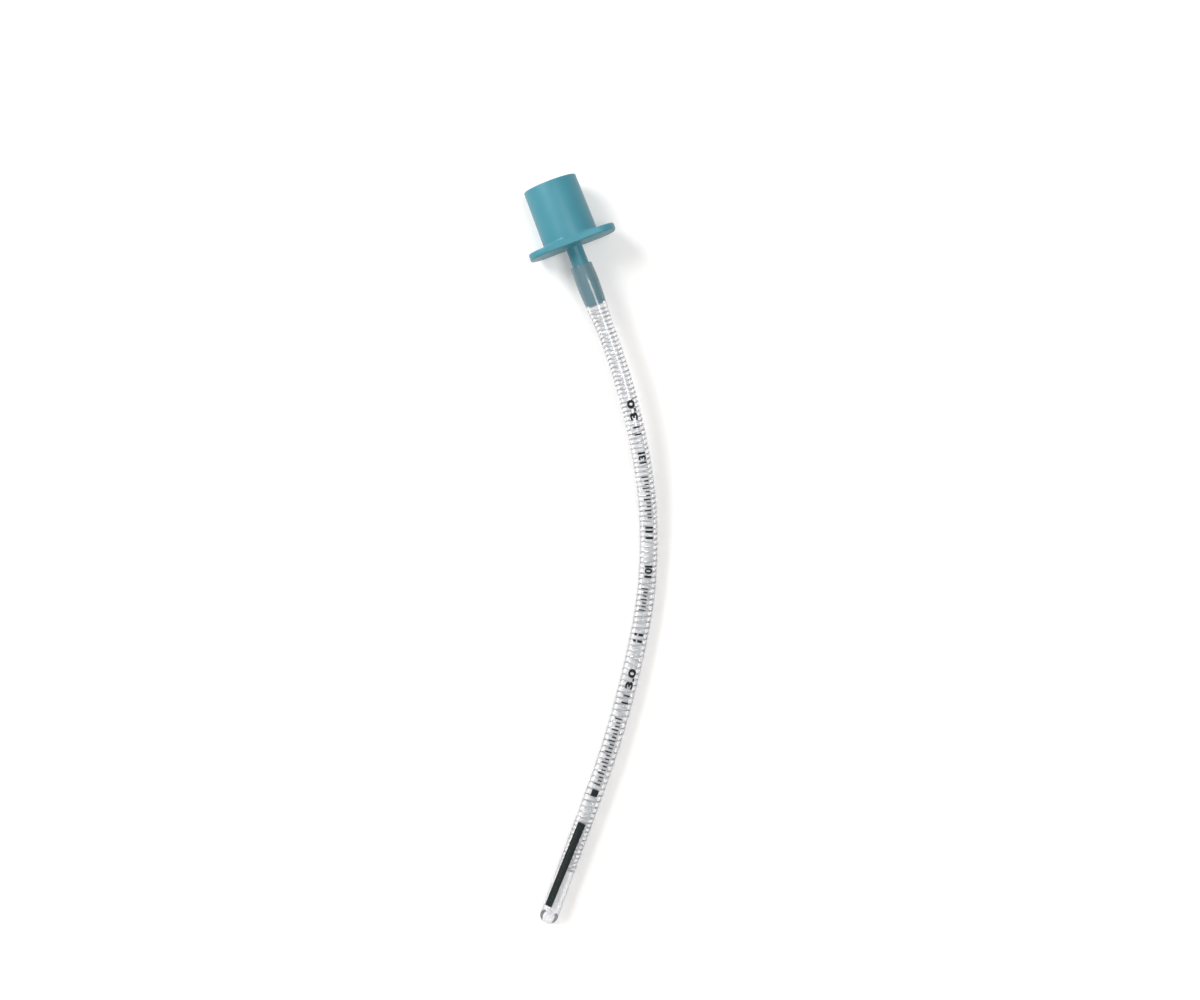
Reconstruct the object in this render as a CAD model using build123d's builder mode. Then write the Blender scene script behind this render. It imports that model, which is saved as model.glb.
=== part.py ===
# Wire-reinforced endotracheal tube with a 3.0 mm bore, lying at rest on a flat surface. Millimetres.
# The 15 mm connector lies on the flat foot of its flange, its mouth towards +Y. The tube leaves it
# towards -Y, sinks to the surface and bends round towards -X. Origin: the middle of the foot.
import os
from math import atan, atan2, cos, pi, sin, sqrt, tan

from build123d import *

os.makedirs("parts", exist_ok=True)

# Connector: the 15 mm cone
cone_mouth_od = 15.2
cone_taper = 1 / 40
cone_length = 16.6
cone_lip = 0.35
cone_bore_d = 12.7
cone_bore_depth = 11.5
cone_funnel = 3.0

# Connector: the flange, whose flat sides stand a little proud of the cone
flange_span = 25.0
flange_thickness = 1.9
flange_stand_off = 0.2
flange_corner = 5.5
flange_edge = 0.45
cone_root = 0.6

# Connector: the neck and the nipple that the tube is pushed on to
neck_od = 4.6
neck_length = 5.7
neck_root = 0.6
nipple_bore = 2.6
nipple_length = 12.0
nipple_swell_od = 5.1
nipple_swell_at = 5.2
nipple_tip_od = 4.3

# Tube: bore, outside and the stretch in which it settles from the nipple's size to its own
tube_bore = 3.0
tube_od = 5.0
settle_length = 7.0

# Tube: its bends, as radius and length, from the connector to the tip. The first sinks towards the
# surface, the second levels out on it, and the third lies on it, as the straight end does.
sink_radius, sink_length = 165.0, 40.0
level_radius, level_length = 120.0, 45.0
flat_radius, flat_length = 290.0, 47.0
tip_straight = 39.5
bevel_angle = 45.0
bevel_round = 0.3

# Reinforcing wire: thickness, clear lengths at its two ends, pitch at some shares of the wound length,
# and the last turn, which closes the coil. Its section and turns have few sides, which keeps it light.
wire_thickness = 0.32
wire_from_nipple = 0.8
clear_tip = 16.3
pitches = [(0.0, 1.18), (0.35, 1.4), (0.75, 1.78), (0.88, 1.78), (0.92, 1.3), (1.0, 1.3)]
closing_pitch = 0.6
sides_of_wire = 3
steps_per_turn = 7

# Heights and places along the connector, from the driving sizes
cone_base_od = cone_mouth_od + cone_length * cone_taper
flange_depth = cone_base_od + 2 * flange_stand_off
axis_height = flange_depth / 2
flange_front = flange_thickness / 2
flange_back = -flange_thickness / 2
mouth_y = flange_front + cone_length
bore_floor_y = mouth_y - cone_bore_depth
tube_end_y = flange_back - neck_length
swell_y = tube_end_y - nipple_swell_at
nipple_tip_y = tube_end_y - nipple_length
settled_y = nipple_tip_y - settle_length

bore_axis = Axis((0, 0, axis_height), (0, 1, 0))
half_section = Plane.XY.offset(axis_height)
flange_plane = Plane(origin=(0, flange_back, axis_height), x_dir=(1, 0, 0), z_dir=(0, 1, 0))


def stretched_od(bore):
    """Outside diameter of the tube where its bore is stretched, with the wall's section unchanged."""
    return sqrt(tube_od**2 - tube_bore**2 + bore**2)


# Side of the nipple, shared by the nipple and by the bore of the tube that sits on it
with BuildLine() as nipple_side:
    Polyline(
        (neck_od / 2, tube_end_y),
        (nipple_swell_od / 2, swell_y),
        (nipple_tip_od / 2, nipple_tip_y),
    )

# Root of the cone: a bevel on to each wing, which runs out at the flange's flat sides
with BuildPart() as cone_foot:
    with BuildSketch(half_section):
        with BuildLine():
            Polyline(
                (cone_base_od / 2, flange_front + cone_root),
                (cone_base_od / 2 - cone_root, flange_front + cone_root),
                (cone_base_od / 2 - cone_root, flange_front),
                (cone_base_od / 2 + cone_root, flange_front),
                (cone_base_od / 2, flange_front + cone_root),
            )
        make_face()
    revolve(axis=bore_axis)
    with BuildSketch(flange_plane):
        Rectangle(flange_span, flange_depth - 2 * flange_edge)
    extrude(amount=flange_thickness + cone_root, mode=Mode.INTERSECT)

# Connector: flange, then cone, neck and nipple as turned forms, all one moulding
with BuildPart() as connector:
    with BuildSketch(flange_plane):
        RectangleRounded(flange_span, flange_depth, flange_corner)
    extrude(amount=flange_thickness)
    chamfer(faces().sort_by(Axis.Y)[0].edges() + faces().sort_by(Axis.Y)[-1].edges(), flange_edge)
    with BuildSketch(half_section):
        with BuildLine():
            Polyline(
                (0, 0),
                (cone_base_od / 2, 0),
                (cone_base_od / 2, flange_front),
                (cone_mouth_od / 2, mouth_y),
                (0, mouth_y),
                (0, 0),
            )
        make_face()
        chamfer(vertices().group_by(Axis.Y)[-1].sort_by(Axis.X)[-1], cone_lip)
    revolve(axis=bore_axis)
    with BuildSketch(half_section):
        with BuildLine():
            add(nipple_side.line)
            Polyline(
                (nipple_tip_od / 2, nipple_tip_y),
                (0, nipple_tip_y),
                (0, 0),
                (neck_od / 2 + neck_root, 0),
                (neck_od / 2 + neck_root, flange_back),
                (neck_od / 2, flange_back - neck_root),
                (neck_od / 2, tube_end_y),
            )
        make_face()
    revolve(axis=bore_axis)
    add(cone_foot.part)
    # Bore: straight, with a funnel that leads into the nipple's own bore
    with BuildSketch(half_section):
        with BuildLine():
            Polyline(
                (0, mouth_y),
                (cone_bore_d / 2, mouth_y),
                (cone_bore_d / 2, bore_floor_y),
                (nipple_bore / 2, bore_floor_y - cone_funnel),
                (nipple_bore / 2, nipple_tip_y),
                (0, nipple_tip_y),
                (0, mouth_y),
            )
        make_face()
    revolve(axis=bore_axis, mode=Mode.SUBTRACT)

# Route of the tube's middle, level with the connector at first
def direction(heading):
    """Level direction at an angle from -Y towards -X."""
    return Vector(-sin(heading), -cos(heading), 0)


def side(heading):
    """Level direction square to a heading, towards the inside of the bend."""
    return Vector(-cos(heading), sin(heading), 0)


up = Vector(0, 0, 1)
drop = axis_height - tube_od / 2
sink_turn = sink_length / sink_radius
level_turn = level_length / level_radius
flat_turn = flat_length / flat_radius
# Share of the first two bends' curvature that is upright, so that the second ends level, on the surface
sink_share = drop / (
    sink_radius * (1 - cos(sink_turn)) + level_radius * sin(sink_turn) * tan(level_turn / 2)
)
level_share = sink_share * sin(sink_turn) / sin(level_turn)
sink_normal = side(0) * sqrt(1 - sink_share**2) - up * sink_share
sunk = direction(0) * cos(sink_turn) + sink_normal * sin(sink_turn)
sunk_heading = atan2(-sunk.X, -sunk.Y)
level_heading = sunk_heading + atan(sqrt(1 - level_share**2) * tan(level_turn))
level_end_normal = side(level_heading) * sqrt(1 - level_share**2) + up * level_share
level_normal = level_end_normal * cos(level_turn) + direction(level_heading) * sin(level_turn)
tip_heading = level_heading + flat_turn


def bend(start, tangent, normal, radius, turn):
    """Adds an arc that leaves a point along a tangent and curves towards a normal."""
    points = [
        start + tangent * (radius * sin(angle)) + normal * (radius * (1 - cos(angle)))
        for angle in (turn / 2, turn)
    ]
    return ThreePointArc(start, *points)


with BuildLine() as route:
    sleeve_line = Line((0, tube_end_y, axis_height), (0, settled_y, axis_height))
    sink_arc = bend(sleeve_line @ 1, direction(0), sink_normal, sink_radius, sink_turn)
    level_arc = bend(sink_arc @ 1, sunk, level_normal, level_radius, level_turn)
    flat_arc = bend(level_arc @ 1, direction(level_heading), side(level_heading), flat_radius, flat_turn)
    tip_line = Line(flat_arc @ 1, flat_arc @ 1 + direction(tip_heading) * tip_straight)
centre_line = route.wire()
tube_length = centre_line.length
bent_route = Wire([sink_arc, level_arc, flat_arc, tip_line])
tip_end = tip_line @ 1


def wall_middle(along):
    """Radius of the middle of the tube's wall at a distance from the connector's end."""
    at_nipple = (nipple_tip_od + stretched_od(nipple_tip_od)) / 4
    settled = (tube_bore + tube_od) / 4
    share = min(max((along - nipple_length) / settle_length, 0), 1)
    return at_nipple + (settled - at_nipple) * share


def pitch_at(share):
    """Pitch of the coil at a share of its wound length, straight between the given values."""
    for (low, low_pitch), (high, high_pitch) in zip(pitches, pitches[1:]):
        if share <= high:
            return low_pitch + (high_pitch - low_pitch) * (share - low) / (high - low)
    return pitches[-1][1]


# Places of the coil along the tube, a step of its turn apart, with one close turn at its end
coil_start = nipple_length + wire_from_nipple
coil_length = tube_length - clear_tip - closing_pitch - coil_start
steps = [coil_start]
while steps[-1] < coil_start + coil_length:
    steps.append(steps[-1] + pitch_at((steps[-1] - coil_start) / coil_length) / steps_per_turn)
for _ in range(steps_per_turn):
    steps.append(steps[-1] + closing_pitch / steps_per_turn)

# Reinforcing wire: one coil, wound round the route in the middle of the tube's wall
wire_radius = wire_thickness * sqrt(pi / (2 * sides_of_wire * sin(2 * pi / sides_of_wire)))
with BuildPart() as reinforcing_wire:
    for number, along in enumerate(steps):
        middle = centre_line @ (along / tube_length)
        tangent = centre_line % (along / tube_length)
        across = tangent.cross(up).normalized()
        angle = 2 * pi * number / steps_per_turn
        outward = across * cos(angle) + across.cross(tangent) * sin(angle)
        place = middle + outward * wall_middle(along)
        with BuildSketch(Plane(origin=place, x_dir=outward, z_dir=tangent.cross(outward))):
            RegularPolygon(wire_radius, sides_of_wire)
    loft(ruled=True)

# Tube: the machine end, stretched over the nipple, then the bent length and the bevelled tip
with BuildPart() as tube:
    with BuildSketch(half_section):
        with BuildLine():
            add(nipple_side.line)
            Polyline(
                (nipple_tip_od / 2, nipple_tip_y),
                (tube_bore / 2, settled_y),
                (tube_od / 2, settled_y),
                (stretched_od(nipple_tip_od) / 2, nipple_tip_y),
                (stretched_od(nipple_swell_od) / 2, swell_y),
                (stretched_od(neck_od) / 2, tube_end_y),
                (neck_od / 2, tube_end_y),
            )
        make_face()
    revolve(axis=bore_axis)
    with BuildSketch(Plane(origin=sink_arc @ 0, z_dir=sink_arc % 0)):
        Circle(tube_od / 2)
        Circle(tube_bore / 2, mode=Mode.SUBTRACT)
    sweep(path=bent_route)
    bevel_normal = direction(tip_heading).rotate(Axis((0, 0, 0), side(tip_heading)), bevel_angle)
    toe = tip_end - up * (tube_od / 2)
    split(bisect_by=Plane(origin=toe, z_dir=bevel_normal), keep=Keep.BOTTOM)
    bevel_face = faces().sort_by_distance(tip_end)[0]
    fillet(bevel_face.edges().sort_by(SortBy.LENGTH)[-1], bevel_round)
    add(reinforcing_wire.part, mode=Mode.SUBTRACT)

for name, piece in (
    ("connector", connector.part),
    ("tube", tube.part),
    ("reinforcing_wire", reinforcing_wire.part),
):
    piece.label = name
    export_step(piece, f"parts/{name}.step")
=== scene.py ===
"""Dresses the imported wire-reinforced airway tube: clear wall, steel coil, connector and ink marks.

Every piece of the tube is first modelled straight, as if the tube ran on from the connector towards
-Y, and is then laid along the bent route. Sizes are in millimetres and are turned to metres once.
"""

import logging
import math
from dataclasses import dataclass, field
from enum import Enum
from typing import Callable, Sequence

import bmesh
import bpy
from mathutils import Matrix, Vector

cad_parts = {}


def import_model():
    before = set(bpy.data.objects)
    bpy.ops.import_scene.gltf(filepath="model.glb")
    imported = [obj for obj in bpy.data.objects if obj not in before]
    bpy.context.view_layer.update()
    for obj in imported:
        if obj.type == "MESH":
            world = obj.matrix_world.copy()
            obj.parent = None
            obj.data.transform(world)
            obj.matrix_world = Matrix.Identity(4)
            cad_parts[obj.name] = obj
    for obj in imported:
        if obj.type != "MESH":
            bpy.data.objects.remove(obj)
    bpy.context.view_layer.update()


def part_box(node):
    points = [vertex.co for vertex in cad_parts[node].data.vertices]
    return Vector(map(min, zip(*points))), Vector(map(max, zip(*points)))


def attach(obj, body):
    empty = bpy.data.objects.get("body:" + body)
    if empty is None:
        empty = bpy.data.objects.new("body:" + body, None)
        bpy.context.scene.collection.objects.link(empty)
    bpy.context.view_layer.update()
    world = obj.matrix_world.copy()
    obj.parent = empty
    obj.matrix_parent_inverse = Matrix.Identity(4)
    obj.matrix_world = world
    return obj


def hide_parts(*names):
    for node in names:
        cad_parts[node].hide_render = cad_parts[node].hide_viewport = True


log = logging.getLogger("airway_tube")

MM = 0.001
BODY = "root"
UP = Vector((0.0, 0.0, 1.0))
SAME_PLACE = 1e-7
LEVEL = 1e-6
SMOOTH_BELOW = 32.0


class Slot(Enum):
    """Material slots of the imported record."""

    CONNECTOR = "connector"
    TUBE = "tube"
    WIRE = "reinforcing_wire"


class Node(Enum):
    """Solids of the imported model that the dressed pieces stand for."""

    CONNECTOR = "connector"
    TUBE = "tube"
    WIRE = "reinforcing_wire"


class Socket:
    """A number or colour socket that Python's operators can be used on."""

    def __init__(self, graph: "Graph", link: bpy.types.NodeSocket) -> None:
        """Keeps a socket and the graph it belongs to."""
        self.graph = graph
        self.link = link

    def _math(self, operation: str, *values: object) -> "Socket":
        """Adds a Math node.

        Args:
            operation: the Math node's operation.
            values: sockets or numbers, in the node's order.

        Returns:
            The node's result.
        """
        return self.graph.node("ShaderNodeMath", {"operation": operation}, dict(enumerate(values)))

    def __add__(self, other: object) -> "Socket":
        """Sum."""
        return self._math("ADD", self, other)

    __radd__ = __add__

    def __sub__(self, other: object) -> "Socket":
        """Difference."""
        return self._math("SUBTRACT", self, other)

    def __rsub__(self, other: object) -> "Socket":
        """Difference, the other way round."""
        return self._math("SUBTRACT", other, self)

    def __mul__(self, other: object) -> "Socket":
        """Product."""
        return self._math("MULTIPLY", self, other)

    __rmul__ = __mul__


class Graph:
    """The nodes of one material, or of the room's light."""

    def __init__(self, name: str, world: bool = False) -> None:
        """Starts an empty material, or an empty world, of a name."""
        self.owner = (bpy.data.worlds if world else bpy.data.materials).new(name)
        self.owner.use_nodes = True
        self.tree = self.owner.node_tree
        self.tree.nodes.clear()
        self.output = self.tree.nodes.new("ShaderNodeOutputWorld" if world else "ShaderNodeOutputMaterial")

    def node(
        self, kind: str, settings: dict[str, object], inputs: dict[object, object], output: object = 0
    ) -> Socket:
        """Adds a node.

        Args:
            kind: the node's type.
            settings: its properties, set first; stops are a colour ramp's.
            inputs: values or sockets, by the input's name or number.
            output: the output that is wanted, by name or number.

        Returns:
            That output.
        """
        made = self.tree.nodes.new(kind)
        for key, value in settings.items():
            if key == "stops":
                self._stops(made, value)
            else:
                setattr(made, key, value)
        for key, value in inputs.items():
            if isinstance(value, Socket):
                self.tree.links.new(value.link, made.inputs[key])
            else:
                made.inputs[key].default_value = value
        return Socket(self, made.outputs[output])

    @staticmethod
    def _stops(ramp: bpy.types.Node, stops: Sequence[tuple[float, tuple[float, ...]]]) -> None:
        """Sets a colour ramp's stops."""
        elements = ramp.color_ramp.elements
        while len(elements) < len(stops):
            elements.new(0.5)
        for element, (place, colour) in zip(elements, stops):
            element.position = place
            element.color = colour

    def place(self) -> Socket:
        """Place on the piece, in metres, in the shared frame."""
        return self.node("ShaderNodeTexCoord", {}, {}, "Object")

    def rays(self, *kinds: str) -> Socket:
        """Adds up the Light Path outputs of some kinds of ray, of which a ray is only one."""
        total = self.node("ShaderNodeLightPath", {}, {}, kinds[0])
        for kind in kinds[1:]:
            total = total + self.node("ShaderNodeLightPath", {}, {}, kind)
        return total

    def cloud(self, grain_mm: float, detail: float = 3.0) -> Socket:
        """Adds soft noise.

        Args:
            grain_mm: the size of one patch.
            detail: how many finer layers it has.

        Returns:
            A value around a half.
        """
        inputs = {"Vector": self.place(), "Scale": 1.0 / (grain_mm * MM), "Detail": detail}
        return self.node("ShaderNodeTexNoise", {}, inputs, 0)

    def blend(self, share: object, low: tuple[float, ...], high: tuple[float, ...]) -> Socket:
        """Mixes two colours by a share."""
        return self.node("ShaderNodeMix", {"data_type": "RGBA"}, {0: share, 6: low, 7: high}, 2)

    def relief(self, height: Socket, depth_mm: float, strength: float) -> Socket:
        """Turns a height into a bumped normal."""
        inputs = {"Height": height, "Distance": depth_mm * MM, "Strength": strength}
        return self.node("ShaderNodeBump", {}, inputs, "Normal")

    def surface(self, inputs: dict[str, object]) -> bpy.types.ID:
        """Ends the material in a Principled shader.

        Args:
            inputs: the shader's values and links.

        Returns:
            The finished material.
        """
        return self.finish(self.node("ShaderNodeBsdfPrincipled", {}, inputs))

    def finish(self, shader: Socket) -> bpy.types.ID:
        """Ends the material, or the room's light, in a shader.

        Args:
            shader: the shader that the surface shows.

        Returns:
            The finished material or world.
        """
        self.tree.links.new(shader.link, self.output.inputs["Surface"])
        return self.owner

    def fill(self, depth: Socket) -> None:
        """Gives the material's inside what light loses on its way through it."""
        self.tree.links.new(depth.link, self.output.inputs["Volume"])


@dataclass(frozen=True)
class MouldedTeal:
    """Semi-gloss blue-green moulded plastic, a little cloudy, with a fine skin from its mould."""

    colour: tuple[float, ...] = (0.046, 0.225, 0.285, 1.0)
    pale: tuple[float, ...] = (0.060, 0.255, 0.320, 1.0)
    cloud_mm: float = 6.0
    skin_mm: float = 0.22
    roughness: float = 0.36
    depth: tuple[float, float, float] = (0.3, 0.9, 1.0)

    def material(self) -> bpy.types.Material:
        """Builds the material."""
        graph = Graph("moulded_teal")
        flow = graph.cloud(self.cloud_mm)
        skin = graph.cloud(self.skin_mm, 2.0)
        return graph.surface({
            "Base Color": graph.blend(flow, self.colour, self.pale),
            "Roughness": self.roughness + 0.08 * flow + 0.06 * skin,
            "Normal": graph.relief(skin, 0.01, 0.15),
            "IOR": 1.45,
            "Subsurface Weight": 0.12,
            "Subsurface Radius": self.depth,
            "Subsurface Scale": 0.6 * MM,
        })


@dataclass(frozen=True)
class ClearVinyl:
    """Clear soft plastic with the faint unevenness of a drawn wall."""

    colour: tuple[float, ...] = (0.90, 0.91, 0.92, 1.0)
    hazy: tuple[float, ...] = (0.94, 0.93, 0.94, 1.0)
    depth_colour: tuple[float, ...] = (0.72, 0.74, 0.78, 1.0)
    density: float = 120.0
    drawn_mm: float = 6.0
    roughness: float = 0.10
    ior: float = 1.50
    clear: float = 0.92

    def material(self) -> bpy.types.Material:
        """Builds the material."""
        graph = Graph("clear_vinyl")
        wave = graph.cloud(self.drawn_mm, 2.0)
        depth = {"Color": self.depth_colour, "Density": self.density}
        graph.fill(graph.node("ShaderNodeVolumeAbsorption", {}, depth))
        return graph.surface({
            "Base Color": graph.blend(wave, self.colour, self.hazy),
            "Roughness": self.roughness + 0.06 * wave,
            "Normal": graph.relief(wave, 0.02, 0.06),
            "IOR": self.ior,
            "Transmission Weight": self.clear,
        })


@dataclass(frozen=True)
class DrawnSteel:
    """Bright stainless wire with faint streaks from its drawing die."""

    colour: tuple[float, ...] = (0.80, 0.81, 0.83, 1.0)
    bright: tuple[float, ...] = (0.90, 0.91, 0.92, 1.0)
    streak_mm: float = 0.5

    def material(self) -> bpy.types.Material:
        """Builds the material."""
        graph = Graph("drawn_steel")
        streak = graph.cloud(self.streak_mm)
        return graph.surface({
            "Base Color": graph.blend(streak, self.colour, self.bright),
            "Metallic": 1.0,
            "Roughness": 0.26 + 0.16 * streak,
            "Normal": graph.relief(streak, 0.01, 0.05),
        })


@dataclass(frozen=True)
class PrintInk:
    """Near-black green ink, slightly thin in places."""

    colour: tuple[float, ...] = (0.0030, 0.0075, 0.0065, 1.0)
    thin: tuple[float, ...] = (0.020, 0.030, 0.028, 1.0)
    patch_mm: float = 0.5

    def material(self) -> bpy.types.Material:
        """Builds the material."""
        graph = Graph("print_ink")
        patch = graph.cloud(self.patch_mm)
        stops = [(0.45, self.colour), (0.75, self.thin)]
        ramp = graph.node("ShaderNodeValToRGB", {"stops": stops}, {0: patch})
        return graph.surface({
            "Base Color": ramp,
            "Roughness": 0.46 + 0.2 * patch,
            "Normal": graph.relief(patch, 0.01, 0.3),
            "Specular IOR Level": 0.2,
        })


class Bench:
    """Modelling operators, used as by hand on one piece at a time."""

    @staticmethod
    def clear() -> None:
        """Leaves edit mode and deselects every object."""
        if bpy.context.mode != "OBJECT":
            bpy.ops.object.mode_set(mode="OBJECT")
        bpy.ops.object.select_all(action="DESELECT")

    @staticmethod
    def take(piece: bpy.types.Object) -> None:
        """Selects one object alone and makes it active."""
        Bench.clear()
        piece.select_set(True)
        bpy.context.view_layer.objects.active = piece

    @staticmethod
    def turn(
        name: str, profile: Sequence[tuple[float, float]], sides: int, height: float
    ) -> bpy.types.Object:
        """Turns a profile about the connector's axis, drawn out ring by ring from a circle.

        Args:
            name: the piece's name.
            profile: radius and place along Y of each ring, in metres.
            sides: how many sides a ring has.
            height: the axis's height.

        Returns:
            The turned mesh, open at its first and last ring.
        """
        Bench.clear()
        radius, along = profile[0]
        bpy.ops.mesh.primitive_circle_add(
            vertices=sides, radius=radius, location=(0.0, along, height), rotation=(math.pi / 2, 0.0, 0.0)
        )
        piece = bpy.context.object
        piece.name = name
        bpy.ops.object.transform_apply(location=True, rotation=True, scale=True)
        bpy.ops.object.mode_set(mode="EDIT")
        bpy.ops.mesh.select_all(action="SELECT")
        for next_radius, next_along in profile[1:]:
            shift = {"value": (0.0, next_along - along, 0.0)}
            bpy.ops.mesh.extrude_edges_move(TRANSFORM_OT_translate=shift)
            if next_radius != radius:
                share = next_radius / radius
                bpy.ops.transform.resize(
                    value=(share, 1.0, share), center_override=(0.0, next_along, height)
                )
            radius, along = next_radius, next_along
        bpy.ops.object.mode_set(mode="OBJECT")
        return piece

    @staticmethod
    def pick(piece: bpy.types.Object, edges: Callable[[bmesh.types.BMEdge], bool]) -> None:
        """Enters edit mode on a piece with only some of its edges selected.

        Args:
            piece: the mesh.
            edges: says which edges are taken.
        """
        Bench.take(piece)
        bpy.ops.object.mode_set(mode="EDIT")
        bpy.ops.mesh.select_mode(type="EDGE")
        bpy.ops.mesh.select_all(action="DESELECT")
        mesh = bmesh.from_edit_mesh(piece.data)
        for edge in mesh.edges:
            edge.select_set(edges(edge))
        bmesh.update_edit_mesh(piece.data)

    @staticmethod
    def slice(piece: bpy.types.Object, place: Sequence[float], facing: Sequence[float], clear: bool) -> None:
        """Cuts a mesh along a plane.

        Args:
            piece: the mesh.
            place: a point of the plane.
            facing: the way the plane faces.
            clear: whether what lies on that side is taken away.
        """
        Bench.take(piece)
        bpy.ops.object.mode_set(mode="EDIT")
        bpy.ops.mesh.select_mode(type="FACE")
        bpy.ops.mesh.select_all(action="SELECT")
        bpy.ops.mesh.bisect(plane_co=place, plane_no=facing, clear_outer=clear)
        bpy.ops.object.mode_set(mode="OBJECT")

    @staticmethod
    def close_ends(piece: bpy.types.Object) -> None:
        """Closes each open ring of a piece with a face."""
        Bench.pick(piece, lambda edge: edge.is_boundary)
        bpy.ops.mesh.fill_holes(sides=0)
        bpy.ops.object.mode_set(mode="OBJECT")
        Bench.outwards(piece)

    @staticmethod
    def outwards(piece: bpy.types.Object) -> None:
        """Merges doubles and turns every face of a closed piece outwards."""
        Bench.take(piece)
        bpy.ops.object.mode_set(mode="EDIT")
        bpy.ops.mesh.select_all(action="SELECT")
        bpy.ops.mesh.remove_doubles(threshold=SAME_PLACE)
        bpy.ops.mesh.normals_make_consistent(inside=False)
        bpy.ops.object.mode_set(mode="OBJECT")

    @staticmethod
    def modify(piece: bpy.types.Object, kind: str, **settings: object) -> None:
        """Adds a modifier and applies it.

        Args:
            piece: the mesh.
            kind: the modifier's type.
            settings: its properties.
        """
        Bench.take(piece)
        modifier = piece.modifiers.new(kind.lower(), kind)
        for key, value in settings.items():
            setattr(modifier, key, value)
        bpy.ops.object.modifier_apply(modifier=modifier.name)

    @staticmethod
    def combine(piece: bpy.types.Object, tool: bpy.types.Object, operation: str) -> None:
        """Joins a tool to a piece, or cuts it away, and removes the tool."""
        Bench.modify(piece, "BOOLEAN", object=tool, operation=operation, solver="EXACT")
        bpy.data.objects.remove(tool, do_unlink=True)

    @staticmethod
    def dress(
        piece: bpy.types.Object, name: str, material: bpy.types.Material, slot: Slot, node: Node | None = None
    ) -> None:
        """Finishes a piece: its material, its shading, its body and what it stands for.

        Args:
            piece: the mesh, with its place in its vertices.
            name: the piece's name.
            material: its finish.
            slot: the record's material slot; not used.
            node: the solid that it stands for.
        """
        piece.name = name
        piece.data.materials.clear()
        piece.data.materials.append(material)
        Bench.take(piece)
        bpy.ops.object.shade_smooth_by_angle(angle=math.radians(SMOOTH_BELOW))
        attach(piece, BODY)
        if node is not None:
            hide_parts(node.value)
        log.info("%s: %d faces", name, len(piece.data.polygons))


def runs_along_y(edge: bmesh.types.BMEdge) -> bool:
    """Says whether an edge has any run along the connector's axis."""
    return abs(edge.verts[0].co.y - edge.verts[1].co.y) > LEVEL


def rounded(
    start: tuple[float, float], end: tuple[float, float], corner: tuple[float, float], steps: int = 5
) -> list[tuple[float, float]]:
    """Rounds a corner of a profile with a quarter of an ellipse.

    Args:
        start: where the round begins, as radius and place along Y.
        end: where it ends.
        corner: the sharp corner that it replaces.
        steps: how many pieces the round has.

    Returns:
        Its points, both ends included.
    """
    points = []
    for step in range(steps + 1):
        angle = step / steps * math.pi / 2
        points.append(tuple(
            corner[axis] + (start[axis] - corner[axis]) * (1 - math.sin(angle))
            + (end[axis] - corner[axis]) * (1 - math.cos(angle))
            for axis in (0, 1)
        ))
    return points


@dataclass(frozen=True)
class Stretch:
    """One straight or arched stretch of the tube's middle line, in millimetres."""

    start: Vector
    heading: Vector
    length: float
    inwards: Vector = field(default_factory=lambda: Vector((0.0, 0.0, 0.0)))
    radius: float = 0.0

    def at(self, along: float) -> tuple[Vector, Vector]:
        """Finds a place on the stretch.

        Args:
            along: the distance from the stretch's start.

        Returns:
            The point and the direction there.
        """
        if self.radius == 0.0:
            return self.start + self.heading * along, self.heading
        turn = along / self.radius
        rise = self.inwards * (self.radius * (1 - math.cos(turn)))
        point = self.start + self.heading * (self.radius * math.sin(turn)) + rise
        return point, self.heading * math.cos(turn) + self.inwards * math.sin(turn)


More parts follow.
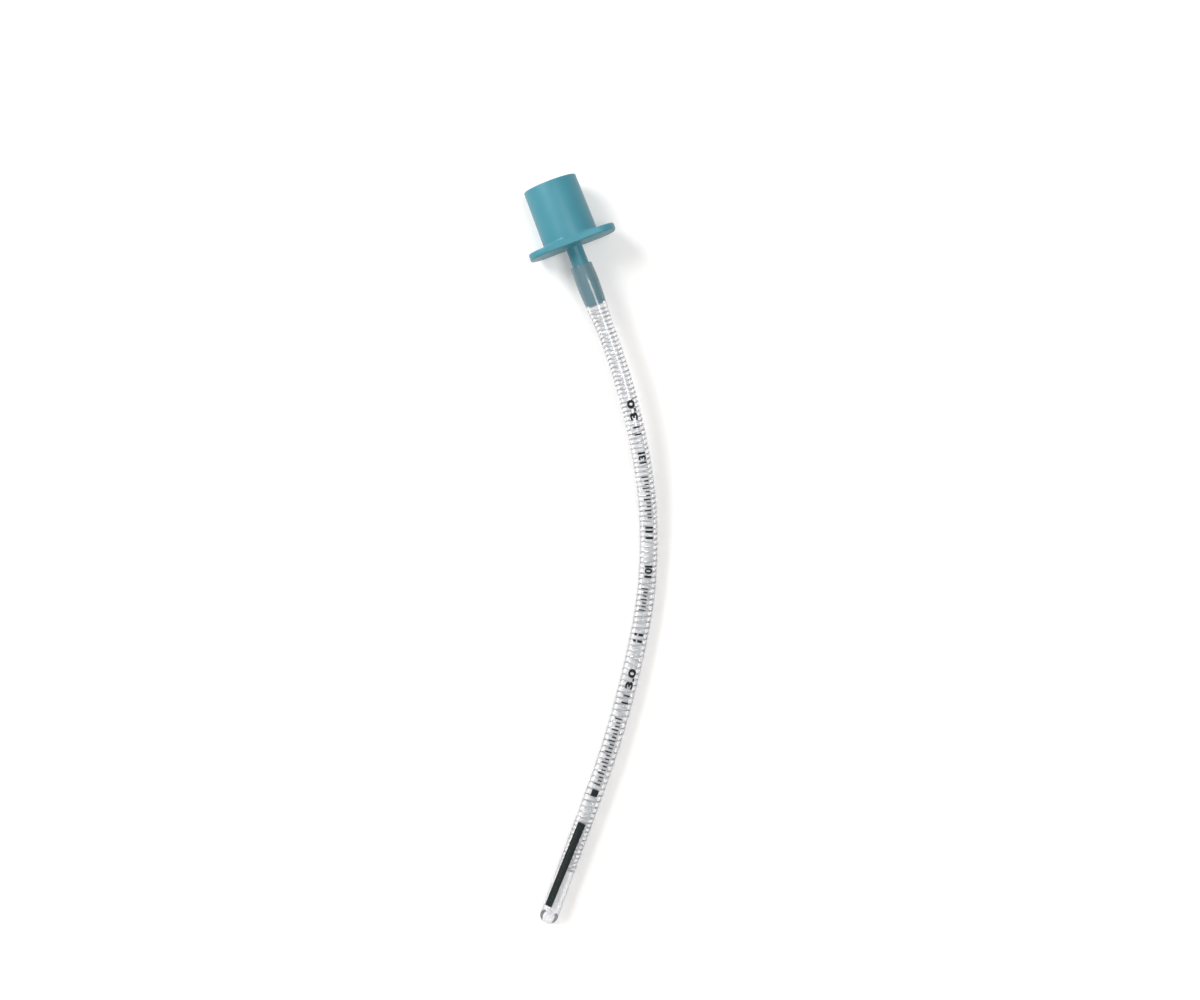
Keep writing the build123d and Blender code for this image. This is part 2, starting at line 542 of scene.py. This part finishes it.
@dataclass
class Route:
    """The tube's middle line: level out of the connector, down to the surface, and along it."""

    end_y: float
    height: float
    od: float = 5.0
    sleeve: float = 19.0
    sink: tuple[float, float] = (165.0, 40.0)
    level: tuple[float, float] = (120.0, 45.0)
    flat: tuple[float, float] = (290.0, 47.0)
    straight: float = 39.5
    stretches: list[Stretch] = field(default_factory=list)

    def __post_init__(self) -> None:
        """Works the stretches out from the bends' radii and lengths."""
        sink_turn = self.sink[1] / self.sink[0]
        level_turn = self.level[1] / self.level[0]
        drop = self.height - self.od / 2
        fall = self.sink[0] * (1 - math.cos(sink_turn))
        fall += self.level[0] * math.sin(sink_turn) * math.tan(level_turn / 2)
        sink_share = drop / fall
        level_share = sink_share * math.sin(sink_turn) / math.sin(level_turn)
        ahead = self.heading(0.0)
        sink_in = self.aside(0.0) * math.sqrt(1 - sink_share**2) - UP * sink_share
        sunk = ahead * math.cos(sink_turn) + sink_in * math.sin(sink_turn)
        turn = math.atan2(-sunk.x, -sunk.y)
        turn += math.atan(math.sqrt(1 - level_share**2) * math.tan(level_turn))
        level_out = self.aside(turn) * math.sqrt(1 - level_share**2) + UP * level_share
        level_in = level_out * math.cos(level_turn) + self.heading(turn) * math.sin(level_turn)
        flat_turn = self.flat[1] / self.flat[0]
        self._add(ahead, self.sleeve)
        self._add(ahead, self.sink[1], sink_in, self.sink[0])
        self._add(sunk, self.level[1], level_in, self.level[0])
        self._add(self.heading(turn), self.flat[1], self.aside(turn), self.flat[0])
        self._add(self.heading(turn + flat_turn), self.straight)

    @staticmethod
    def heading(angle: float) -> Vector:
        """Level direction at an angle from -Y towards -X."""
        return Vector((-math.sin(angle), -math.cos(angle), 0.0))

    @staticmethod
    def aside(angle: float) -> Vector:
        """Level direction square to a heading, towards the inside of the bend."""
        return Vector((-math.cos(angle), math.sin(angle), 0.0))

    def _add(
        self, heading: Vector, length: float, inwards: Vector = Vector(), radius: float = 0.0
    ) -> None:
        """Adds a stretch where the last one ends."""
        start = Vector((0.0, self.end_y, self.height))
        if self.stretches:
            start = self.stretches[-1].at(self.stretches[-1].length)[0]
        self.stretches.append(Stretch(start, heading, length, inwards, radius))

    @property
    def length(self) -> float:
        """Whole length of the middle line."""
        return sum(stretch.length for stretch in self.stretches)

    def at(self, along: float) -> tuple[Vector, Vector, Vector]:
        """Finds a place on the route.

        Args:
            along: the distance from the connector's end of the tube.

        Returns:
            The point, the direction across the tube, and the direction up through it.
        """
        for stretch in self.stretches:
            if along <= stretch.length or stretch is self.stretches[-1]:
                point, tangent = stretch.at(along)
                break
            along -= stretch.length
        across = tangent.cross(UP).normalized()
        return point, across, across.cross(tangent)

    def around(self, along: float, radius: float, angle: float) -> Vector:
        """Finds a place about the route, in metres.

        Args:
            along: the distance from the connector's end of the tube.
            radius: the distance from the middle line.
            angle: the angle from the top of the tube, towards the inside of the bend.

        Returns:
            The place.
        """
        point, across, lift = self.at(along)
        return (point + across * (radius * math.sin(angle)) + lift * (radius * math.cos(angle))) * MM

    def lay(self, piece: bpy.types.Object) -> None:
        """Bends a piece that was modelled straight, along -Y, on to the route."""
        for vertex in piece.data.vertices:
            straight = vertex.co / MM
            point, across, lift = self.at(self.end_y - straight.y)
            vertex.co = (point - across * straight.x + lift * (straight.z - self.height)) * MM
        piece.data.update()


@dataclass
class Section:
    """The tube's section along its length: on the nipple, settling, and at its own size."""

    bore: float = 3.0
    od: float = 5.0
    nipple_length: float = 12.0
    swell_at: float = 5.2
    settle: float = 7.0
    neck: float = 4.6
    swell: float = 5.1
    tip: float = 4.3
    clearance: float = -0.01

    def nipple(self, along: float) -> float:
        """Outside diameter of the nipple at a distance from the tube's end."""
        if along < self.swell_at:
            share = along / self.swell_at
            return self.neck + (self.swell - self.neck) * math.sin(share * math.pi / 2) ** 1.3
        share = (along - self.swell_at) / (self.nipple_length - self.swell_at)
        return self.swell + (self.tip - self.swell) * (1 - math.cos(share * math.pi / 2)) ** 0.9

    def inside(self, along: float) -> float:
        """Diameter of the tube's bore at a distance from its end."""
        if along <= self.nipple_length:
            return self.nipple(along) + 2 * self.clearance
        share = min((along - self.nipple_length) / self.settle, 1.0)
        stretched = self.tip + 2 * self.clearance
        return self.bore + (stretched - self.bore) * (1 + math.cos(math.pi * share)) / 2

    def outside(self, along: float) -> float:
        """Outside diameter, where the wall's section stays the same as its bore is stretched."""
        return math.sqrt(self.od**2 - self.bore**2 + self.inside(along) ** 2)


@dataclass
class Connector:
    """The moulded connector: 15 mm cone, flange, neck and nipple, with the bore through them all."""

    section: Section
    mouth_y: float
    height: float
    end_y: float
    span: float
    depth: float
    mouth_od: float = 15.2
    base_od: float = 15.615
    bore: float = 12.7
    bore_depth: float = 11.5
    funnel: float = 3.0
    nipple_bore: float = 2.6
    lip: float = 0.4
    plate: float = 1.9
    plate_corner: float = 5.5
    plate_edge: float = 0.45
    cone_root: float = 0.75
    neck_root: float = 0.7
    nipple_rings: int = 24
    tip_round: float = 0.3
    floor_round: tuple[float, float, float] = (0.6, 0.4, 0.24)
    throat_round: tuple[float, float, float] = (0.5, 0.3, 0.5)
    overlap: float = 0.6
    hole_gap: float = 0.5
    sides: int = 112

    def profile(self) -> list[tuple[float, float]]:
        """Outside of the turned form, from the mouth to the nipple's tip."""
        top = self.mouth_od / 2
        neck = self.section.neck / 2
        back = -self.plate / 2
        tip_y = self.end_y - self.section.nipple_length
        tip = self.section.tip / 2
        points = rounded(
            (top - self.lip, self.mouth_y), (top, self.mouth_y - self.lip), (top, self.mouth_y)
        )
        points.append((self.base_od / 2, self.plate / 2))
        points.append((self.base_od / 2, 0.0))
        points.append((neck + self.neck_root, 0.0))
        points += rounded((neck + self.neck_root, back), (neck, back - self.neck_root), (neck, back))
        for step in range(1, self.nipple_rings):
            along = self.section.nipple_length * step / self.nipple_rings
            points.append((self.section.nipple(along) / 2, self.end_y - along))
        points += rounded((tip, tip_y + self.tip_round), (tip - self.tip_round, tip_y), (tip, tip_y))
        return points

    def bore_profile(self) -> list[tuple[float, float]]:
        """Inside of the turned form, from the mouth to the nipple's tip."""
        wide = self.bore / 2
        narrow = self.nipple_bore / 2
        floor_y = self.mouth_y - self.bore_depth
        tip_y = self.end_y - self.section.nipple_length
        throat_y = floor_y - self.funnel
        above, inwards, below = self.floor_round
        outwards, rise, fall = self.throat_round
        points = rounded(
            (wide + self.lip, self.mouth_y), (wide, self.mouth_y - self.lip), (wide, self.mouth_y)
        )
        points += rounded((wide, floor_y + above), (wide - inwards, floor_y - below), (wide, floor_y))
        points += rounded((narrow + outwards, throat_y + rise), (narrow, throat_y - fall), (narrow, throat_y))
        points.append((narrow, tip_y))
        return points

    def root(self) -> bpy.types.Object:
        """Ring that rounds the cone into the flange's wings, flat where the flange is."""
        base = self.base_od / 2
        front = self.plate / 2
        inner = base - self.overlap
        points = [(inner, 0.0), (base + self.cone_root, 0.0)]
        points += rounded((base + self.cone_root, front), (base, front + self.cone_root), (base, front))
        points.append((inner, front + self.cone_root))
        ring = self._turned("cone_root", points + points[:1])
        Bench.outwards(ring)
        Bench.combine(ring, self._block(4 * self.plate, self.depth - 2 * self.plate_edge), "INTERSECT")
        return ring

    def _block(self, length: float, depth: float) -> bpy.types.Object:
        """Adds a block as wide as the flange, about the connector's axis."""
        Bench.clear()
        bpy.ops.mesh.primitive_cube_add(size=1.0, location=(0.0, 0.0, self.height * MM))
        block = bpy.context.object
        block.scale = (self.span * MM, length * MM, depth * MM)
        bpy.ops.object.transform_apply(location=True, rotation=True, scale=True)
        return block

    def flange(self) -> bpy.types.Object:
        """Flange: a plate with two round-cornered wings and soft edges."""
        plate = self._block(self.plate, self.depth)
        Bench.pick(plate, runs_along_y)
        bpy.ops.mesh.bevel(offset=self.plate_corner * MM, segments=20, affect="EDGES")
        bpy.ops.object.mode_set(mode="OBJECT")
        Bench.pick(plate, lambda edge: not runs_along_y(edge))
        bpy.ops.mesh.bevel(offset=self.plate_edge * MM, segments=5, affect="EDGES", clamp_overlap=False)
        bpy.ops.object.mode_set(mode="OBJECT")
        Bench.outwards(plate)
        return plate

    def _turned(self, name: str, points: Sequence[tuple[float, float]]) -> bpy.types.Object:
        """Turns a profile given in millimetres."""
        profile = [(radius * MM, along * MM) for radius, along in points]
        return Bench.turn(name, profile, self.sides, self.height * MM)

    def build(self, material: bpy.types.Material) -> None:
        """Builds the connector as one moulding."""
        outline = self.profile() + self.bore_profile()[::-1]
        body = self._turned("body", outline + outline[:1])
        Bench.outwards(body)
        hole_radius = self.nipple_bore / 2 + self.hole_gap
        hole = self._turned("hole", [(hole_radius, self.plate), (hole_radius, -self.plate)])
        Bench.close_ends(hole)
        plate = self.flange()
        Bench.combine(plate, hole, "DIFFERENCE")
        Bench.combine(body, plate, "UNION")
        Bench.combine(body, self.root(), "UNION")
        Bench.dress(body, "moulded_connector", material, Slot.CONNECTOR, Node.CONNECTOR)


@dataclass
class ClearTube:
    """The clear wall: stretched over the nipple, laid along the route, and bevelled at its tip."""

    route: Route
    section: Section
    step: float = 1.25
    sides: int = 56
    bevel_angle: float = 45.0
    rim: float = 0.28
    rim_turn: float = 0.35
    mouth_round: float = 0.22
    tip_run: float = 9.0

    def stations(self) -> list[float]:
        """Distances of the wall's rings from the connector's end, with none where the bevel cuts."""
        fine = [self.step / 2 * number for number in range(int(self.route.sleeve / self.step * 2))]
        even = self.route.length - self.tip_run - self.route.sleeve
        count = math.ceil(even / self.step)
        places = [self.route.sleeve + even * number / count for number in range(count + 1)]
        return fine + places + [self.route.length + 1.0]

    def build(self, material: bpy.types.Material) -> None:
        """Builds the wall, straight at first, cuts its bevel and lays it along the route."""
        end_y = self.route.end_y
        places = self.stations()
        outer = [(self.section.outside(along) / 2, end_y - along) for along in places]
        inner = [(self.section.inside(along) / 2, end_y - along) for along in reversed(places)]
        side = outer[0][0]
        face = (inner[-1][0] + self.mouth_round, end_y)
        mouth = rounded(face, (side, end_y - self.mouth_round), (side, end_y))
        profile = [(radius * MM, along * MM) for radius, along in inner + mouth + outer[1:]]
        wall = Bench.turn("wall", profile, self.sides, self.route.height * MM)
        self._cut(wall)
        Bench.outwards(wall)
        self.route.lay(wall)
        Bench.dress(wall, "clear_tube", material, Slot.TUBE, Node.TUBE)

    def _cut(self, wall: bpy.types.Object) -> None:
        """Cuts the bevel, closes the wall there and rounds its rim."""
        lean = math.radians(self.bevel_angle)
        toe_y = self.route.end_y - self.route.length
        toe = Vector((0.0, toe_y, self.route.height - self.section.od / 2)) * MM
        facing = Vector((0.0, -math.cos(lean), math.sin(lean)))

        def on_rim(edge: bmesh.types.BMEdge) -> bool:
            """Says whether an edge of the cut turns a corner."""
            on_cut = all(abs((vertex.co - toe).dot(facing)) < SAME_PLACE for vertex in edge.verts)
            return on_cut and edge.is_manifold and edge.calc_face_angle(0.0) > self.rim_turn

        Bench.slice(wall, toe, facing, True)
        Bench.pick(wall, lambda edge: edge.is_boundary)
        bpy.ops.mesh.bridge_edge_loops()
        bpy.ops.object.mode_set(mode="OBJECT")
        Bench.pick(wall, on_rim)
        bpy.ops.mesh.bevel(offset=self.rim * MM, segments=4, affect="EDGES", clamp_overlap=False)
        bpy.ops.object.mode_set(mode="OBJECT")


@dataclass
class Coil:
    """The steel wire wound inside the wall, with a pitch that changes along the tube."""

    route: Route
    section: Section
    wire: float = 0.32
    from_nipple: float = 0.8
    clear_tip: float = 16.3
    pitches: tuple[tuple[float, float], ...] = (
        (0.0, 1.18), (0.35, 1.4), (0.75, 1.78), (0.88, 1.78), (0.92, 1.3), (1.0, 1.3),
    )
    closing_pitch: float = 0.6
    steps: int = 28

    def pitch_at(self, share: float) -> float:
        """Pitch at a share of the wound length, straight between the given values."""
        for (low, low_pitch), (high, high_pitch) in zip(self.pitches, self.pitches[1:]):
            if share <= high:
                return low_pitch + (high_pitch - low_pitch) * (share - low) / (high - low)
        return self.pitches[-1][1]

    def places(self) -> list[float]:
        """Distances along the tube, a step of the winding apart."""
        start = self.section.nipple_length + self.from_nipple
        wound = self.route.length - self.clear_tip - self.closing_pitch - start
        places = [start]
        while places[-1] < start + wound:
            places.append(places[-1] + self.pitch_at((places[-1] - start) / wound) / self.steps)
        for _ in range(self.steps):
            places.append(places[-1] + self.closing_pitch / self.steps)
        return places

    def build(self, material: bpy.types.Material) -> None:
        """Winds the coil round the route as one round wire."""
        places = self.places()
        data = bpy.data.curves.new("steel_coil", "CURVE")
        data.dimensions = "3D"
        data.bevel_depth = self.wire / 2 * MM
        data.bevel_resolution = 2
        data.use_fill_caps = True
        line = data.splines.new("POLY")
        line.points.add(len(places) - 1)
        for number, along in enumerate(places):
            radius = (self.section.inside(along) + self.section.outside(along)) / 4
            angle = 2 * math.pi * number / self.steps
            line.points[number].co = (*self.route.around(along, radius, angle + math.pi / 2), 1.0)
        coil = bpy.data.objects.new("steel_coil", data)
        bpy.context.collection.objects.link(coil)
        Bench.take(coil)
        bpy.ops.object.convert(target="MESH")
        Bench.outwards(coil)
        Bench.dress(coil, "steel_coil", material, Slot.WIRE, Node.WIRE)


@dataclass(frozen=True)
class Figure:
    """Plain figures printed on the wall: where they begin, how far they run, and their lean."""

    text: str
    begins: float
    run: float
    lean: float = 4.0
    rise: float = 2.15


@dataclass(frozen=True)
class Block:
    """A printed block: from one distance to another, and from one side to the other, in degrees."""

    begins: float
    ends: float
    low: float
    high: float


@dataclass
class Prints:
    """The ink on the wall: plain figures, bars and ticks, and the long stripe at the tip."""

    route: Route
    section: Section
    proud: float = 0.012
    thickness: float = 0.015
    figures: tuple[Figure, ...] = (
        Figure("3.0", 45.2, 5.7, -7.0),
        Figure("13", 57.4, 2.3, -5.0),
        Figure("11", 78.6, 2.4, -2.0),
        Figure("10", 89.4, 2.7, -2.0),
        Figure("3.0", 120.9, 5.7, -7.0),
    )
    bars: tuple[Block, ...] = (
        Block(54.2, 54.8, -30.0, 20.0),
        Block(75.1, 75.7, -27.0, 23.0),
        Block(86.0, 86.6, -27.0, 23.0),
        Block(47.0, 47.5, -30.0, 16.0),
        Block(49.0, 49.5, -30.0, 16.0),
        Block(105.2, 105.9, -26.0, 6.0),
        Block(105.2, 105.9, 16.0, 34.0),
        Block(107.0, 107.7, -26.0, 6.0),
        Block(107.0, 107.7, 16.0, 34.0),
        Block(122.6, 123.1, -30.0, 14.0),
        Block(124.6, 125.1, -30.0, 14.0),
    )
    rulers: tuple[tuple[float, float, float], ...] = (
        (61.2, 72.6, 0.0), (92.6, 98.6, 12.0), (129.6, 148.6, 4.0),
    )
    end_block: Block = Block(150.2, 152.2, -22.0, 22.0)
    tick_pitch: float = 1.05
    tick_half: float = 0.19
    tick_low: float = 22.0
    long_reach: float = 22.0
    short_reach: float = 14.0
    bold: float = 0.045
    bands: int = 10
    stripe_begins: float = 160.2
    stripe_length: float = 24.9
    stripe_width: float = 2.33
    stripe_leans: tuple[float, float] = (10.0, 22.0)

    def _roll(self, print_: bpy.types.Object, begins: float, lean: float) -> None:
        """Rolls a flat print on to the straight wall and gives it its thickness.

        Args:
            print_: the flat mesh, in metres, with its reading direction along X.
            begins: distance from the connector's end at which it begins.
            lean: degrees from the top of the tube to its middle.
        """
        for vertex in print_.data.vertices:
            along = begins - vertex.co.x / MM
            radius = self.section.outside(along) / 2 + self.proud
            angle = vertex.co.y / MM / radius + math.radians(lean)
            aside, lift = -radius * math.sin(angle), radius * math.cos(angle)
            vertex.co = Vector((aside, self.route.end_y - along, self.route.height + lift)) * MM
        print_.data.update()
        Bench.modify(print_, "SOLIDIFY", thickness=self.thickness * MM, offset=1.0)
        Bench.outwards(print_)
        self.route.lay(print_)

    def figure(self, figure: Figure) -> bpy.types.Object:
        """Makes plain figures of a given run and rise, rolled on to the wall."""
        Bench.clear()
        bpy.ops.object.text_add()
        piece = bpy.context.object
        piece.data.body = figure.text
        piece.data.offset = self.bold
        piece.data.resolution_u = 6
        bpy.ops.object.convert(target="MESH")
        piece = bpy.context.object
        corners = [vertex.co for vertex in piece.data.vertices]
        low = Vector((min(corner.x for corner in corners), min(corner.y for corner in corners), 0.0))
        high = Vector((max(corner.x for corner in corners), max(corner.y for corner in corners), 0.0))
        for vertex in piece.data.vertices:
            share = vertex.co - low
            across = (share.y / (high.y - low.y) - 0.5) * figure.rise
            vertex.co = Vector((share.x / (high.x - low.x) * figure.run, across, 0.0)) * MM
        for step in range(1, self.bands):
            level = (step / self.bands - 0.5) * figure.rise * MM
            Bench.slice(piece, (0.0, level, 0.0), (0.0, 1.0, 0.0), False)
        self._roll(piece, figure.begins, figure.lean)
        return piece

    def block(self, block: Block) -> bpy.types.Object:
        """Makes a plain printed block, rolled on to the wall."""
        Bench.clear()
        bpy.ops.mesh.primitive_grid_add(x_subdivisions=4, y_subdivisions=12, size=1.0)
        piece = bpy.context.object
        middle = (block.begins + block.ends) / 2
        width = math.radians(block.high - block.low) * self.section.outside(middle) / 2
        piece.scale = ((block.ends - block.begins) * MM, width * MM, 1.0)
        bpy.ops.object.transform_apply(location=False, rotation=False, scale=True)
        self._roll(piece, middle, (block.low + block.high) / 2)
        return piece

    def ruler(self, begins: float, ends: float, lean: float) -> list[bpy.types.Object]:
        """Makes a row of plain ticks, every third one long."""
        count = round((ends - begins) / self.tick_pitch)
        ticks = []
        for number in range(count + 1):
            place = begins + (ends - begins) * number / count
            reach = self.long_reach if number % 3 == 0 else self.short_reach
            low = lean - self.tick_low
            tick = Block(place - self.tick_half, place + self.tick_half, low, low + 2 * reach)
            ticks.append(self.block(tick))
        return ticks

    def stripe(self) -> bpy.types.Object:
        """Makes the long stripe, which leans further from the top towards the tip."""
        length, first_lean, more_lean = self.stripe_length, *self.stripe_leans
        Bench.clear()
        bpy.ops.mesh.primitive_grid_add(x_subdivisions=48, y_subdivisions=14, size=1.0)
        piece = bpy.context.object
        piece.scale = (length * MM, self.stripe_width * MM, 1.0)
        bpy.ops.object.transform_apply(location=False, rotation=False, scale=True)
        for vertex in piece.data.vertices:
            share = 0.5 - vertex.co.x / (length * MM)
            vertex.co.y += math.radians(first_lean + more_lean * share) * self.section.od / 2 * MM
        self._roll(piece, self.stripe_begins + length / 2, 0.0)
        return piece

    def build(self, material: bpy.types.Material) -> None:
        """Prints everything and joins it into one piece of ink for figures and one for the stripe."""
        marks = [self.figure(figure) for figure in self.figures]
        marks += [self.block(block) for block in self.bars]
        for begins, ends, lean in self.rulers:
            marks += self.ruler(begins, ends, lean)
        marks.append(self.block(self.end_block))
        Bench.take(marks[0])
        for mark in marks:
            mark.select_set(True)
        bpy.ops.object.join()
        Bench.dress(bpy.context.object, "printed_figures", material, Slot.TUBE)
        Bench.dress(self.stripe(), "printed_stripe", material, Slot.TUBE)


@dataclass(frozen=True)
class Lamp:
    """A soft square lamp, by its place to the picture's right and up, height, size and watts."""

    name: str
    aside: tuple[float, float]
    height: float
    size: float
    power: float


@dataclass
class Studio:
    """White ground, soft light from the upper left of the view, and the camera straight above."""

    distance: float = 0.790
    middle: tuple[float, float] = (-0.01837, -0.06912)
    turn: float = -21.04
    focal: float = 2830.8
    width: float = 1200.0
    sensor: float = 36.0
    paper: tuple[float, ...] = (0.80, 0.79, 0.78, 1.0)
    paper_lift: float = 0.22
    even: float = 0.5
    seen_lift: float = 0.25
    lamps: tuple[Lamp, ...] = (
        Lamp("key", (-0.95, 0.60), 0.95, 0.7, 19.0),
        Lamp("overhead", (0.36, 0.1), 1.2, 0.45, 6.0),
    )

    def axes(self) -> tuple[Vector, Vector]:
        """Directions of the picture's right and up."""
        turn = math.radians(self.turn)
        return Vector((math.cos(turn), math.sin(turn), 0.0)), Vector((-math.sin(turn), math.cos(turn), 0.0))

    def camera(self) -> None:
        """Places the camera, which looks straight down."""
        data = bpy.data.cameras.new("camera")
        data.sensor_width = self.sensor
        data.lens = self.focal * data.sensor_width / self.width
        camera = bpy.data.objects.new("camera", data)
        camera.location = (*self.middle, self.distance)
        camera.rotation_euler = (0.0, 0.0, math.radians(self.turn))
        bpy.context.collection.objects.link(camera)
        bpy.context.scene.camera = camera

    def hang(self, lamp: Lamp) -> None:
        """Hangs a soft lamp that faces the middle."""
        data = bpy.data.lights.new(lamp.name, "AREA")
        data.size = lamp.size
        data.energy = lamp.power
        right, up = self.axes()
        middle = Vector((*self.middle, 0.0))
        hung = bpy.data.objects.new(lamp.name, data)
        hung.location = middle + right * lamp.aside[0] + up * lamp.aside[1] + UP * lamp.height
        hung.rotation_euler = (middle - hung.location).to_track_quat("-Z", "Y").to_euler()
        bpy.context.collection.objects.link(hung)

    def ground(self) -> None:
        """Lays the white ground, which still shows the object's shadow."""
        graph = Graph("white_ground")
        rays = graph.rays("Is Camera Ray", "Is Glossy Ray", "Is Transmission Ray")
        paper = graph.node("ShaderNodeBsdfDiffuse", {}, {"Color": self.paper})
        glow = {"Color": (1.0, 1.0, 1.0, 1.0), "Strength": rays * self.paper_lift}
        lift = graph.node("ShaderNodeEmission", {}, glow)
        both = graph.node("ShaderNodeAddShader", {}, {0: paper, 1: lift})
        Bench.clear()
        bpy.ops.mesh.primitive_grid_add(x_subdivisions=8, y_subdivisions=8, size=6.0)
        ground = bpy.context.object
        ground.name = "white_ground"
        ground.data.materials.append(graph.finish(both))

    def sky(self) -> None:
        """Gives the room its even light, brighter where it is seen directly or through the wall."""
        graph = Graph("room", world=True)
        strength = graph.rays("Is Camera Ray", "Is Transmission Ray") * self.seen_lift + self.even
        light = graph.node("ShaderNodeBackground", {}, {"Strength": strength})
        bpy.context.scene.world = graph.finish(light)

    def build(self) -> None:
        """Builds the whole studio."""
        bpy.context.scene.view_settings.view_transform = "Standard"
        self.camera()
        self.ground()
        self.sky()
        for lamp in self.lamps:
            self.hang(lamp)


def main() -> None:
    """Builds the classes in order from the imported parts' sizes and notes the route's length at the end."""
    logging.basicConfig(level=logging.INFO, format="%(message)s")
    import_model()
    low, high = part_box(Node.CONNECTOR.value)
    end_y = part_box(Node.TUBE.value)[1][1] / MM
    height = (low[2] + high[2]) / 2 / MM
    section = Section()
    route = Route(end_y, height)
    Studio().build()
    connector = Connector(
        section, high[1] / MM, height, end_y, (high[0] - low[0]) / MM, (high[2] - low[2]) / MM
    )
    connector.build(MouldedTeal().material())
    ClearTube(route, section).build(ClearVinyl().material())
    Coil(route, section).build(DrawnSteel().material())
    Prints(route, section).build(PrintInk().material())
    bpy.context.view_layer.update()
    log.info("route %.2f mm", route.length)


if __name__ == "__main__":
    main()
